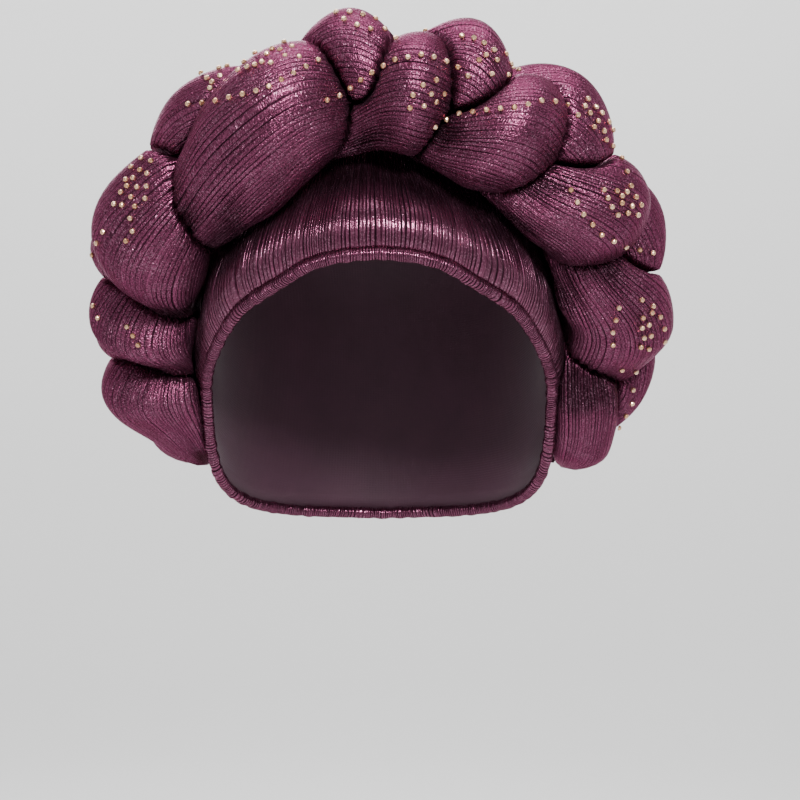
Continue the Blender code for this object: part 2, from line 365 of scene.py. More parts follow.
class GeleStoneSizes(bpy.types.PropertyGroup):
    """Sizes of the small cut stones."""

    diameter: FloatProperty(
        name="Diameter", description="Width of a stone",
        default=0.0025, unit="LENGTH", precision=4,
    )
    height: FloatProperty(
        name="Height", description="Height of a stone over the cloth",
        default=0.0011, unit="LENGTH", precision=4,
    )
    pitch: FloatProperty(
        name="Pitch", description="Room from stone to stone along a row",
        default=0.0056, unit="LENGTH", precision=4,
    )
    facets: IntProperty(name="Facets", description="Facets round the table", default=8, min=8)


class GeleFinishes(bpy.types.PropertyGroup):
    """Colours of the cloth and the stones."""

    cloth: FloatVectorProperty(
        name="Cloth", description="Colour of the metallic cloth",
        default=(0.118, 0.028, 0.061), subtype="COLOR", min=0.0, max=1.0,
    )
    # Painted glint: the glinting cells are painted a little towards this colour; it also tints the sheen
    glint: FloatVectorProperty(
        name="Glint", description="Colour of the bright threads",
        default=(0.72, 0.36, 0.52), subtype="COLOR", min=0.0, max=1.0,
    )
    # Partly the cloth's own dark hollows and partly painted shade in the creases: the pleat lines are
    # painted towards this colour
    fold: FloatVectorProperty(
        name="Fold", description="Colour deep in the folds",
        default=(0.012, 0.004, 0.008), subtype="COLOR", min=0.0, max=1.0,
    )
    edge: FloatVectorProperty(
        name="Edge", description="Tint of the cloth's shine at grazing angles",
        default=(0.55, 0.26, 0.38), subtype="COLOR", min=0.0, max=1.0,
    )
    lining: FloatVectorProperty(
        name="Lining", description="Colour of the cap's stretch lining",
        default=(0.050, 0.014, 0.030), subtype="COLOR", min=0.0, max=1.0,
    )
    stone: FloatVectorProperty(
        name="Stone", description="Colour of the stones",
        default=(0.84, 0.55, 0.34), subtype="COLOR", min=0.0, max=1.0,
    )


class GeleStageSizes(bpy.types.PropertyGroup):
    """Camera, floor and lights."""

    camera_place: FloatVectorProperty(
        name="Camera", description="Where the camera stands",
        default=(0.0094, -0.895, -0.127), subtype="XYZ",
    )
    half_view: FloatProperty(
        name="Half view", description="Half the camera's angle of view, in degrees",
        default=11.6,
    )
    floor_level: FloatProperty(
        name="Floor", description="Height of the floor",
        default=-0.60, unit="LENGTH",
    )
    backdrop_radius: FloatProperty(
        name="Backdrop", description="Radius of the round backdrop",
        default=2.6, unit="LENGTH",
    )
    key_power: FloatProperty(
        name="Key light", description="Power of the front soft light, in watts",
        default=20.0,
    )
    fill_power: FloatProperty(
        name="Overhead light", description="Power of the wide overhead light, in watts",
        default=38.0,
    )
    sky: FloatProperty(name="Sky", description="Strength of the light from all round", default=0.30)


def smoothstep(t):
    """Rises smoothly from 0 at t = 0 to 1 at t = 1 and stays there: 3 t squared minus 2 t cubed."""
    t = np.clip(t, 0.0, 1.0)
    return t * t * (3.0 - 2.0 * t)


def follow_table(rows, at):
    """Reads a table of (place, value) at any places, on a cubic curve that never overshoots."""
    x, y = np.array(rows, dtype=float).T
    step = np.diff(x)
    slope = np.diff(y) / step
    total = slope[1:] + slope[:-1]
    inner = np.where(
        slope[1:] * slope[:-1] > 0.0,
        2.0 * slope[1:] * slope[:-1] / np.where(total == 0.0, 1.0, total),
        0.0,
    )
    tangent = np.concatenate([slope[:1], inner, slope[-1:]])
    i = np.clip(np.searchsorted(x, at, side="right") - 1, 0, len(x) - 2)
    t = (at - x[i]) / step[i]
    return (
        (1.0 + 2.0 * t) * (1.0 - t) ** 2 * y[i]
        + t * (1.0 - t) ** 2 * step[i] * tangent[i]
        + t * t * (3.0 - 2.0 * t) * y[i + 1]
        + t * t * (t - 1.0) * step[i] * tangent[i + 1]
    )


def unit(v):
    """Vectors of length 1."""
    return v / np.maximum(np.linalg.norm(v, axis=-1, keepdims=True), 1e-12)


def way_along(line):
    """How far along a line each of its points is."""
    return np.concatenate([[0.0], np.linalg.norm(np.diff(line, axis=0), axis=-1).cumsum()])


def points_at(line, at):
    """Points at the given distances along a line, on the straight runs between its points."""
    way = way_along(line)
    return np.stack([np.interp(at, way, column) for column in line.T], axis=-1)


def ripple(u, v, seed, waves, u_rate, v_rate):
    """A smooth uneven field, about -1 to 1: a sum of sine waves over u and v with random phases.

    Each wave runs at a random share of u_rate along u and at a whole number up to v_rate round v,
    which counts one turn as 1, so the field closes on itself round the piece.
    """
    rng = np.random.default_rng(seed)
    field = 0.0
    for _ in range(waves):
        along = u_rate * rng.uniform(0.25, 1.0) * rng.choice([-1.0, 1.0])
        around = rng.integers(0, v_rate + 1)
        field = field + np.sin(2.0 * np.pi * (along * u + around * v) + rng.uniform(0.0, 2.0 * np.pi))
    return field / np.sqrt(0.5 * waves) * 0.6


def pleat_number(u, v, count, seed, stray):
    """Counts pleats round a piece: v times the count, pushed to and fro so that no two are as wide.

    The push is a sum of sine waves round the piece. Along the piece each wave's phase strays
    slowly, so the pleat lines run nearly straight.
    """
    rng = np.random.default_rng(seed)
    pushed = count * v
    for around in (2, 5, 9, 17, 31, 47):
        size = rng.uniform(0.35, 0.7) * count / (2.0 * np.pi * around) * PLEAT_PUSH
        drift = stray * np.sin(2.0 * np.pi * (u * rng.uniform(0.8, 2.2) + rng.uniform(0.0, 1.0)))
        pushed = pushed + size * np.sin(2.0 * np.pi * (around * v + rng.uniform(0.0, 1.0)) + drift)
    return pushed


def pleat_dip(number, u, count, seed):
    """How deep the pleat lines cut, 0 to 1: a sharp valley at each whole pleat number.

    The profile is one less the size of a half sine, to a power over 1, so the folds between the
    valleys are round. Each line has its own depth from a random table, which swells and fades
    along the piece.
    """
    rng = np.random.default_rng(seed)
    strength = rng.uniform(0.25, 1.0, count)
    rate = rng.uniform(3.0, 9.0, count)
    phase = rng.uniform(0.0, 2.0 * np.pi, count)
    which = np.round(number).astype(int) % count
    fade = 0.78 + 0.22 * np.sin(2.0 * np.pi * rate[which] * u + phase[which])
    return strength[which] * fade * (1.0 - np.abs(np.sin(np.pi * number))) ** PLEAT_SHARPNESS


# Cap form


def skirt_scale(cap, turn, rise):
    """How far the cap draws in below the widest level, most at the nape."""
    back = smoothstep((np.abs(turn) - NAPE_TAPER_TURN) / (180.0 - NAPE_TAPER_TURN))
    taper = cap.side_taper + (cap.nape_taper - cap.side_taper) * back
    return 1.0 - taper * (1.0 - np.cos(np.radians(rise)))


def widest_level(cap):
    """The height at which the head is widest, down from the crown's inner side."""
    return cap.wall - cap.crown_rise


def cap_point(cap, turn, rise, off):
    """A point of the cap: a half ellipsoid above the widest level, a drawn-in skirt below it."""
    above = rise > 0.0
    across = np.where(above, np.cos(np.radians(rise)), skirt_scale(cap, turn, rise))
    tall = np.where(above, cap.crown_rise + off, cap.skirt_reach)
    return np.stack(
        [
            (cap.half_width + off) * across * np.sin(np.radians(turn)),
            -(cap.half_depth + off) * across * np.cos(np.radians(turn)),
            widest_level(cap) + tall * np.sin(np.radians(rise)),
        ],
        axis=-1,
    )


def rim_height(cap, turn):
    """How high the cap's rim is over the widest level at each turn."""
    return cap.brow_rise - follow_table(RIM_LINE, np.abs(turn)) * (cap.brow_rise + cap.nape_drop)


def rim_rise(cap, turn):
    """The rise angle of the cap's rim at each turn."""
    height = rim_height(cap, turn)
    tall = np.where(height > 0.0, cap.crown_rise, cap.skirt_reach)
    return np.degrees(np.arcsin(height / tall))


def puff(cap, turn, height):
    """How far the band over the brow stands out, a smooth swell between the rim and the braid.

    It is the square of a sine over the share of the band's height, to a power under 1, and fades to
    the sides.
    """
    front = smoothstep((cap.puff_turn - np.abs(turn)) / (0.5 * cap.puff_turn))
    share = np.clip((height - rim_height(cap, turn)) / cap.puff_rise, 0.0, 1.0)
    return cap.puff_depth * front * np.sin(np.pi * share ** PUFF_SKEW) ** 2


def cap_grid(cap, turn, share):
    """Rise angles of a grid from the rim to the crown, the bare cap's points there, and the band's swell."""
    low = rim_rise(cap, turn)
    rise = low + (90.0 - low) * share
    bare = cap_point(cap, turn, rise, 0.0)
    return rise, bare, puff(cap, turn, bare[..., 2] - widest_level(cap))


def climb(bare):
    """Metres up from the rim to each point of a cap grid, with the first column again after the last."""
    steps = np.linalg.norm(np.diff(bare, axis=0), axis=-1)
    tall = np.concatenate([np.zeros((1, bare.shape[1])), steps.cumsum(axis=0)])
    return np.concatenate([tall, tall[:, :1]], axis=1)


def outside_cap(cap, point, off):
    """Above 0 outside the cap's outer side grown by off, below 0 inside it.

    It is the length of the point's place in shares of the cap's half axes, less 1.
    """
    x, y, z = np.moveaxis(point, -1, 0)
    height = z - widest_level(cap)
    turn = np.degrees(np.arctan2(x / cap.half_width, -y / cap.half_depth))
    off = off + puff(cap, turn, height)
    down = np.degrees(np.arcsin(np.clip(height / cap.skirt_reach, -1.0, 0.0)))
    flat = np.hypot(x / (cap.half_width + off), y / (cap.half_depth + off))
    tall = np.clip(height, 0.0, None) / (cap.crown_rise + off)
    return np.hypot(flat / skirt_scale(cap, turn, down), tall) - 1.0


def cap_distance(cap, start, heading, off, far):
    """How far a straight way runs from each start before it crosses the cap, by halving the stretch."""
    low = np.zeros(heading.shape[:-1])
    high = np.full(heading.shape[:-1], far)
    first = outside_cap(cap, start, off) > 0.0
    for _ in range(HALVINGS):
        middle = 0.5 * (low + high)
        same = (outside_cap(cap, start + heading * middle[..., None], off) > 0.0) == first
        low = np.where(same, middle, low)
        high = np.where(same, high, middle)
    return low


# Wreath and braid form


def tail(braid, turn):
    """How full the braid is: 1, less a share that grows as a square towards its tucked ends."""
    end = np.where(turn < 0.0, -FIRST_TURN, LAST_TURN)
    share = np.clip((np.abs(turn) - braid.tail_turn) / (end - braid.tail_turn), 0.0, 1.0)
    return 1.0 - (1.0 - braid.tail_share) * share ** 2


def tilted_ring(cap, braid, around):
    """A ring round the head in the wreath's tilted plane, seen from the middle of the widest level.

    The ring is an ellipse as wide and deep as the cap. Over the brow its plane tilts a little more,
    by a bell curve of the turn.
    """
    more = braid.brow_tilt * np.exp(-(np.degrees(around) / braid.brow_tilt_turn) ** 2)
    tilt = np.radians(braid.tilt + more)
    return np.stack(
        [
            cap.half_width * np.sin(around),
            -cap.half_depth * np.cos(around) * np.cos(tilt),
            cap.half_depth * np.cos(around) * np.sin(tilt),
        ],
        axis=-1,
    )


def wreath(cap, braid, turn):
    """Points of the wreath's line and, at each, its sideways and outward directions.

    The line runs in a tilted plane over the brow. At each side it leaves the plane on a quadratic
    curve that ends at the rim, where the braid is tucked in, and it stands off the cap by a share
    of the braid's thickness, and a little more at the brow.
    """
    around = np.radians(turn)
    hand = np.where(turn < 0.0, -1.0, 1.0)
    end = np.radians(np.where(turn < 0.0, -FIRST_TURN, LAST_TURN))
    bend = np.radians(braid.bend_turn)
    leave = tilted_ring(cap, braid, hand * bend)
    lead = leave + tilted_ring(cap, braid, hand * (bend + 0.5 * np.pi)) * (0.5 * (end - bend))[:, None]
    tuck = cap_point(cap, hand * braid.tuck_turn, 0.0 * hand, 0.0)
    tuck[:, 2] = rim_height(cap, braid.tuck_turn) + braid.tuck_over_rim
    share = np.clip((np.abs(around) - bend) / (end - bend), 0.0, 1.0)[:, None]
    curve = leave * (1.0 - share) ** 2 + lead * 2.0 * share * (1.0 - share) + tuck * share ** 2
    heading = unit(np.where(share > 0.0, curve, tilted_ring(cap, braid, around)))
    middle = np.array([0.0, 0.0, widest_level(cap)])
    thick = braid.stand_off * (braid.rise + braid.half_height)
    stand_off = thick * tail(braid, turn) + braid.bridge * np.clip(np.cos(around), 0.0, 1.0)
    reach = cap_distance(cap, middle, heading, 0.0, 2.0 * cap.half_depth) + stand_off
    line = middle + heading * reach[:, None]
    run = unit(np.gradient(line, axis=0))
    out = unit(heading - run * (heading * run).sum(axis=-1, keepdims=True))
    return line, np.cross(out, run), out


def strand_places(braid, lobe):
    """Centres of the three strands across and out of the wreath, and the half width of each one.

    A strand swings from the front edge to the back edge as a cosine, less far to the front over the
    brow, and rises over the middle strand as a sine of twice the angle. The strands are a third of a
    turn apart.
    """
    phase = np.radians(120.0 * (lobe[:, None] - np.arange(3)) + braid.lead)
    reach = follow_table(FRONT_SWING, lobe)[:, None]
    swing = braid.swing * 0.5 * (reach * (1.0 + np.cos(phase)) + 1.0 - np.cos(phase))
    across = -swing * np.cos(phase)
    out = braid.rise * np.sin(2.0 * phase)
    front = follow_table([row[:2] for row in LOBE_FULLNESS], lobe)[:, None]
    back = follow_table([row[::2] for row in LOBE_FULLNESS], lobe)[:, None]
    share = 0.5 * (front * (1.0 + np.cos(phase)) + back * (1.0 - np.cos(phase)))
    return across, out, braid.half_width * share + braid.swell * np.sin(2.0 * phase), phase


def strand_form(cap, braid, strand, stations, sides):
    """A strand's surface: centres, ray directions, reach along each ray, and its phase at each station.

    Each outline is the set of places nearer to this strand than to the other two, less half the
    gap, inside the strand's own ellipse and outside the cap. The limits are joined by a soft
    minimum, the power mean with a large negative power, which rounds the corners. Both ends close
    as a half circle does.
    """
    lobe = np.linspace(FIRST_LOBE, LAST_LOBE, stations)
    turn = follow_table(LOBE_STARTS, lobe)
    line, side, out = wreath(cap, braid, turn)
    full = tail(braid, turn)[:, None]
    across, rise, half, phase = strand_places(braid, lobe)
    across, rise, half = across * full, rise * full, half * full
    stretch = braid.half_width / braid.half_height
    angle = np.arange(sides) * 2.0 * np.pi / sides - 0.5 * np.pi
    ray = np.stack([np.cos(angle), np.sin(angle)], axis=-1)
    limits = [np.broadcast_to(half[:, strand, None], (stations, sides))]
    for other in {0, 1, 2} - {strand}:
        gap = braid.gap * stretch - (half[:, strand] - half[:, other])
        apart = np.stack(
            [across[:, other] - across[:, strand], stretch * (rise[:, other] - rise[:, strand])], axis=-1
        )
        facing = apart @ ray.T + gap[:, None]
        room = ((apart ** 2).sum(axis=-1) - gap ** 2)[:, None]
        limits.append(np.where(facing > TINY, room / (2.0 * np.maximum(facing, TINY)), NO_LIMIT))
    centre = line + side * across[:, strand, None] + out * rise[:, strand, None]
    step = side[:, None] * ray[None, :, :1] + out[:, None] * ray[None, :, 1:] / stretch
    seat = cap_distance(cap, centre[:, None], step, braid.seat_gap, cap.half_width)
    limits.append(np.where(seat < cap.half_width - TINY, seat, NO_LIMIT))
    reach = (np.stack(limits) ** -braid.corner_power).sum(axis=0) ** (-1.0 / braid.corner_power)
    way = np.linalg.norm(np.gradient(centre, axis=0), axis=-1).cumsum()
    end = np.minimum(way - way[0], way[-1] - way) / braid.half_height
    close = np.sqrt(np.clip(1.0 - (1.0 - np.clip(end * END_ROUND, 0.0, 1.0)) ** 2, 0.0, 1.0))
    return centre, step, reach * np.maximum(close, END_LEAST)[:, None], phase[:, strand], way


# Meshes


def strip_faces(rows, columns):
    """Quads of a grid of points as an array of vertex numbers, wrapped round its columns."""
    r, c = np.meshgrid(np.arange(rows - 1) * columns, np.arange(columns), indexing="ij")
    after = (c + 1) % columns
    return np.stack([r + c, r + after, r + columns + after, r + columns + c], axis=-1).reshape(-1, 4)


def fan_faces(first, count, tip):
    """Triangles from each pair of neighbours on a ring of vertices, numbered from first, to one tip."""
    s = np.arange(count)
    return np.stack([first + s, first + (s + 1) % count, np.full(count, tip)], axis=-1)


def strip_marks(u, v):
    """Texture places for strip_faces' corners, from grids one column wider than the points."""
    marks = np.stack([u, v], axis=-1)
    corners = [marks[:-1, :-1], marks[:-1, 1:], marks[1:, 1:], marks[1:, :-1]]
    return np.stack(corners, axis=2).reshape(-1, 4, 2)


def fan_marks(edge, tip):
    """Texture places for fan_faces' corners, from the ring's places and the tip's in each triangle."""
    return np.stack([edge[:-1], edge[1:], tip], axis=1)


def new_piece(name, points, faces, marks, values, finish, node):
    """One object from points and faces, with lists of texture places, point values and finish; it hides the
    imported solid named node, if one is given.
    """
    mesh = bpy.data.meshes.new(name)
    mesh.from_pydata(points.tolist(), [], faces)
    mesh.shade_smooth()
    if marks is not None:
        flat = np.concatenate([part.ravel() for part in marks])
        mesh.uv_layers.new(name="cloth").data.foreach_set("uv", flat.astype(np.float32))
    for key, value in values.items():
        mesh.attributes.new(key, "FLOAT", "POINT").data.foreach_set("value", value.astype(np.float32))
    mesh.materials.append(finish)
    mesh.update()
    piece = bpy.data.objects.new(name, mesh)
    bpy.context.scene.collection.objects.link(piece)
    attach(piece, "root")
    if node:
        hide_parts(node)
    return piece


# Materials


class Shader:
    """Short ways to add nodes to one new material and join them."""

    def __init__(self, name):
        self.material = bpy.data.materials.new(name)
        self.material.use_nodes = True
        self.tree = self.material.node_tree

    def put(self, socket, value):
        """Joins another node's output to a socket, or sets the socket's own value."""
        if isinstance(value, bpy.types.NodeSocket):
            self.tree.links.new(value, socket)
        else:
            socket.default_value = value

    def node(self, kind, inputs=(), **settings):
        """Adds a node with its settings and inputs, and returns it."""
        made = self.tree.nodes.new(kind)
        for key, value in settings.items():
            setattr(made, key, value)
        for key, value in dict(inputs).items():
            self.put(made.inputs[key], value)
        return made

    def surface(self, sockets):
        """Joins or sets sockets of the material's own shader, and returns the material."""
        for key, value in sockets.items():
            self.put(self.tree.nodes["Principled BSDF"].inputs[key], value)
        return self.material

    def place(self, kind):
        """Texture places of one kind: UV or Object."""
        return self.node("ShaderNodeTexCoord").outputs[kind]

    def parts(self, vector):
        """A vector's three numbers."""
        return self.node("ShaderNodeSeparateXYZ", {0: vector}).outputs

    def field(self, name):
        """A point value of the mesh."""
        return self.node("ShaderNodeAttribute", attribute_name=name).outputs["Fac"]

    def math(self, operation, *values):
        """A Math node's result."""
        return self.node("ShaderNodeMath", dict(enumerate(values)), operation=operation).outputs[0]

    def times(self, a, b):
        """One value times another."""
        return self.math("MULTIPLY", a, b)

    def plus(self, a, b):
        """One value added to another."""
        return self.math("ADD", a, b)

    def span(self, value, low, high, to_low, to_high, kind="SMOOTHSTEP"):
        """Maps low to to_low and high to to_high, smoothly at both ends unless kind is LINEAR."""
        return self.node(
            "ShaderNodeMapRange",
            {"Value": value, "From Min": low, "From Max": high, "To Min": to_low, "To Max": to_high},
            interpolation_type=kind,
        ).outputs[0]

    def blend(self, factor, a, b):
        """A colour between a and b."""
        return self.node("ShaderNodeMix", {0: factor, 6: a, 7: b}, data_type="RGBA").outputs[2]

    def noise(self, spot, scale, detail):
        """A cloudy value, 0 to 1."""
        made = self.node("ShaderNodeTexNoise", {"Vector": spot, "Scale": scale, "Detail": detail})
        return made.outputs["Fac"]

    def vector(self, *values):
        """A vector of three values."""
        return self.node("ShaderNodeCombineXYZ", dict(enumerate(values))).outputs[0]

    def chance(self, *parts, kind="Value"):
        """A random number for each whole-number place, or three of them when kind is Color."""
        made = self.node("ShaderNodeTexWhiteNoise", {"Vector": self.vector(*parts)}, noise_dimensions="3D")
        return made.outputs[kind]

    def bump(self, height, strength):
        """Directions of a surface with a relief, its height given in metres."""
        made = self.node("ShaderNodeBump", {"Height": height, "Strength": strength, "Distance": 1.0})
        return made.outputs[0]

    def shift(self, operation, vector, inputs):
        """A Vector Math node's result."""
        return self.node("ShaderNodeVectorMath", {0: vector, **inputs}, operation=operation).outputs[0]


def colour(value, *shares):
    """A colour with full alpha, each part of it times its share, or all parts times one share."""
    return (*np.clip(np.array(value) * np.array(shares or [1.0]), 0.0, 1.0), 1.0)


def pleated_lame(name, finishes, thread, across, line_width, roughness, rough_cloth, gloss):
    """Metallic cloth in fine pleats.

    The texture place counts metres along the pleats and whole pleats across them. A dark line
    follows each whole pleat number, with its own strength, and fainter lines run between; they are
    painted towards the fold colour, partly the cloth's own dark hollows and partly painted shade in
    the creases. Short dashes cross the pleats and long streaks follow them. A few small cells lean
    and glint, and are painted a little towards the glint colour as a painted glint. Where the pleat
    value is high, painted shade darkens the cloth.
    """
    s = Shader(name)
    along, number, _ = s.parts(s.place("UV"))
    where = s.place("Object")
    # The pleat value: how deep the pleat lines are, and from 0.45 up how much painted shade darkens the
    # cloth
    depth = s.field("pleat_depth")

    def grain(along_rate, across_rate, detail, seed):
        return s.noise(s.vector(s.times(along, along_rate), s.times(number, across_rate), seed), 1.0, detail)

    # Short dashes across the pleats, long streaks along them, and a slow change in each line's strength
    dash = grain(0.6 / thread, across, 1.0, 3.0)
    streak = grain(45.0, 3.0, 2.0, 7.0)
    wander = grain(70.0, 0.7, 1.0, 9.0)
    strong = s.times(s.chance(s.math("ROUND", number), 3.0, 0.0), s.span(wander, 0.3, 0.6, 0.5, 1.3))

    def pleat_line(rate, width, low, high):
        counted = s.times(number, rate)
        off = s.math("ABSOLUTE", s.math("SUBTRACT", counted, s.math("ROUND", counted)))
        return s.times(s.span(off, 0.0, width, 1.0, 0.0), s.span(strong, 0.1, 0.7, low, high))

    line = s.times(pleat_line(1.0, line_width, 0.40, 1.15), s.span(depth, 0.0, 0.5, 0.55, 1.0))
    faint = s.times(pleat_line(3.0, 0.30, 0.75, 0.10), s.span(streak, 0.42, 0.62, 0.0, 0.75))
    dark = s.math("MAXIMUM", line, faint)
    # Small cells, some of which glint, more of them in some places than in others
    row = s.math("FLOOR", s.math("DIVIDE", along, thread * 0.6))
    cell = s.math("FLOOR", s.times(number, across * 1.6))
    rare = s.span(s.noise(where, 110.0, 3.0), 0.38, 0.62, 0.96, 0.80)
    glint = s.math("GREATER_THAN", s.chance(row, cell, 0.0), rare)
    # Colour: dashes, streaks, a tone for each pleat, and painted shade where the pleat value is high, beside
    # the braid and where the strands dive under
    spread = 0.31 * rough_cloth
    shade = s.span(dash, 0.33, 0.67, 0.31 - spread, 0.31 + spread)
    shade = s.plus(shade, s.span(streak, 0.3, 0.7, 0.0, 0.35))
    shade = s.plus(shade, s.times(s.chance(s.math("FLOOR", number), 7.0, 1.0), 0.22))
    shade = s.math("SUBTRACT", shade, s.span(depth, 0.45, 1.0, 0.0, 0.62))
    base = s.blend(shade, colour(finishes.cloth, 0.25), colour(finishes.cloth, 1.85))
    # Painted glint: glinting cells are painted a little towards the glint colour
    base = s.blend(s.times(glint, 0.22), base, colour(finishes.glint))
    # Pleat lines: partly the cloth's dark hollows, partly painted shade in the creases
    base = s.blend(s.times(dark, 0.96), base, colour(finishes.fold))
    # Relief: lines cut in and dashes stand out, and each cell leans its own way
    height = s.plus(s.times(line, -LINE_DIP), s.times(faint, -FAINT_DIP))
    height = s.plus(height, s.times(dash, DASH_RISE * rough_cloth))
    lean = s.shift("SUBTRACT", s.chance(row, cell, 5.0, kind="Color"), {1: (0.5, 0.5, 0.5)})
    size = s.plus(s.times(glint, GLINT_LEAN * rough_cloth), CELL_LEAN * rough_cloth)
    lean = s.shift("SCALE", lean, {"Scale": size})
    facing = s.shift("NORMALIZE", s.shift("ADD", s.bump(height, 1.0), {1: lean}), {})
    return s.surface({
        "Base Color": base,
        "Roughness": s.plus(s.span(dash, 0.3, 0.7, roughness + 0.10, roughness), s.times(dark, 0.35)),
        "Normal": facing,
        "Metallic": 0.86,
        "Specular Tint": colour(finishes.edge),
        "Coat Weight": s.span(dark, 0.0, 0.6, gloss, 0.0),
        "Coat Roughness": 0.18,
        "Coat Normal": facing,
        "Sheen Weight": 0.02,
        "Sheen Roughness": 0.5,
        "Sheen Tint": colour(finishes.glint),
    })


def stretch_lining(name, finishes):
    """Soft dark stretch cloth: fine knitted ribs up the cap and a faint cloudiness."""
    s = Shader(name)
    along, number, _ = s.parts(s.place("UV"))
    where = s.place("Object")
    rib = s.math("PINGPONG", s.times(number, 2.0), 0.5)
    course = s.math("PINGPONG", s.math("DIVIDE", along, 0.0012), 0.5)
    knit = s.plus(rib, s.times(course, 0.6))
    tone = s.plus(s.times(s.noise(where, 40.0, 4.0), 0.7), s.times(knit, 0.35))
    height = s.plus(s.times(knit, 0.00012), s.times(s.noise(where, 1800.0, 2.0), 0.00008))
    return s.surface({
        "Base Color": s.blend(tone, colour(finishes.lining, 0.6), colour(finishes.lining, 1.35)),
        "Normal": s.bump(height, 0.8),
        "Roughness": 0.72,
        "Sheen Weight": 0.25,
        "Sheen Roughness": 0.4,
    })


def cut_stone(name, finishes):
    """Champagne-gold cut stones, each a little lighter or darker than the next."""
    s = Shader(name)
    tone = s.field("stone_tone")
    mixed = s.plus(s.times(tone, 0.7), s.times(s.noise(s.place("Object"), 900.0, 1.0), 0.3))
    deep, pale = colour(finishes.stone, 0.74, 0.58, 0.46), colour(finishes.stone, 1.10, 1.20, 1.28)
    return s.surface({
        "Base Color": s.blend(mixed, deep, pale),
        "Roughness": s.span(tone, 0.0, 1.0, 0.10, 0.24, kind="LINEAR"),
        "Metallic": 0.85,
        "Coat Weight": 0.2,
        "Coat Roughness": 0.05,
    })


def plain_stage(name, shade, floor_level):
    """Matt pale paper with a faint unevenness, and painted shade: a little darker on the floor than up the
    backdrop, for the fall-off of the light.
    """
    s = Shader(name)
    where = s.place("Object")
    # Painted shade: darker towards the floor, where less light falls
    pale = s.span(s.parts(where)[2], floor_level, floor_level + PAINTED_SHADE_HEIGHT, 0.80, 1.0)
    cloud = s.span(s.noise(where, 1.2, 2.0), 0.0, 1.0, shade * 0.97, shade * 1.03, kind="LINEAR")
    tone = s.times(cloud, pale)
    paper = s.node("ShaderNodeCombineColor", {0: tone, 1: tone, 2: tone}).outputs[0]
    return s.surface({"Base Color": paper, "Roughness": 0.9})


# Stones: rows as seen from the front, in pixels of the 800 x 800 view from the camera's place.
# Each row is a piece of line through its points, with a stone at each pitch; a cluster gives its stones.
FRONT_ROWS = {
    "lobe over the brow": [(327, 100), (341, 95), (366, 76), (394, 60), (425, 54), (454, 64), (468, 76)],
    "right brow lobe": [(435, 127), (456, 114), (487, 110), (518, 107), (544, 100), (566, 103), (578, 115)],
    "left brow lobe": [(188, 104), (211, 102), (234, 96), (264, 89), (292, 74), (318, 60)],
    "left shoulder lobe": [
        (151, 161), (146, 177), (147, 197), (135, 206), (130, 218), (133, 235), (126, 241),
    ],
    "left shoulder edge": [(141, 158), (131, 167), (121, 192), (114, 204)],
    "left ear lobe": [(103, 232), (93, 250), (89, 275), (91, 300), (98, 318)],
    "left low lobe": [(127, 327), (133, 336), (138, 345)],
    "right shoulder lobe": [(571, 190), (584, 215), (602, 235), (625, 247), (653, 253)],
    "right ear edge": [(642, 300), (656, 308), (664, 325), (665, 342)],
    "right ear row": [(619, 308), (616, 320), (612, 336), (613, 345)],
    "right ear low": [(622, 370), (632, 377), (636, 372)],
    "right low lobe": [(633, 390), (632, 404), (626, 416), (619, 428)],
    "right back lobe": [(613, 146), (622, 158), (627, 172), (631, 186)],
    "crown lobe": [(344, 19), (366, 29), (385, 29), (396, 38)],
    "crown edge": [(336, 12), (353, 12), (372, 17), (388, 24)],
}
FRONT_CLUSTERS = {
    "lobe over the brow": [
        (423, 85), (436, 80), (450, 81), (413, 95), (431, 94), (444, 94), (410, 108), (424, 106), (436, 102),
    ],
    "right shoulder": [
        (608, 198), (617, 191), (627, 192), (636, 197), (612, 207), (622, 203), (632, 206), (641, 205),
        (618, 215), (628, 213), (638, 215), (604, 190), (622, 196),
    ],
    "right ear": [
        (643, 318), (652, 313), (642, 328), (649, 325), (644, 338), (651, 336), (641, 347), (649, 349),
    ],
    "left brow": [
        (201, 73), (206, 62), (207, 68), (214, 55), (212, 60), (219, 68), (212, 82), (207, 78), (210, 88),
        (233, 47), (225, 57), (235, 55), (244, 49), (250, 48), (258, 44), (255, 53), (244, 62), (247, 67),
        (265, 42), (267, 54), (272, 49), (277, 42), (284, 42), (289, 39), (292, 47), (280, 50), (271, 63),
        (262, 62), (255, 65), (285, 56), (299, 57), (238, 70), (227, 66), (220, 76),
    ],
    "right back": [
        (588, 99), (596, 107), (590, 113), (602, 113), (598, 121), (609, 122), (604, 131), (613, 130),
        (585, 106), (594, 127), (606, 140),
    ],
    "back crown": [
        (462, 36), (474, 38), (484, 43), (494, 50), (486, 55), (497, 60), (506, 54), (511, 64), (479, 60),
        (519, 70), (508, 75), (492, 74),
    ],
    "left shoulder": [(133, 178), (127, 186), (140, 170), (137, 187), (131, 197), (122, 205)],
}

# Rows on the side that the front view doesn't show: strand, first and last lobe, angle round the strand
BACK_ROWS = [
    (0, 1.35, 2.05, 60.0),
    (0, 4.30, 5.10, 55.0),
    (0, 4.40, 5.00, 85.0),
    (0, 7.25, 8.00, 55.0),
    (1, 2.35, 3.05, 55.0),
    (1, 2.45, 2.95, 85.0),
    (1, 5.25, 6.05, 55.0),
    (1, 8.30, 8.95, 60.0),
    (2, 3.30, 4.10, 55.0),
    (2, 6.25, 7.05, 50.0),
    (2, 6.40, 6.95, 80.0),
    (2, 0.80, 1.20, 60.0),
]


def strand_grid(scene, strand):
    """A strand's bare surface points and its centres, before pleats."""
    form = strand_form(scene.gele_cap, scene.gele_braid, strand, SEAT_STATIONS, SEAT_SIDES)
    centre, step, reach = form[:3]
    return centre[:, None] + step * reach[..., None], centre


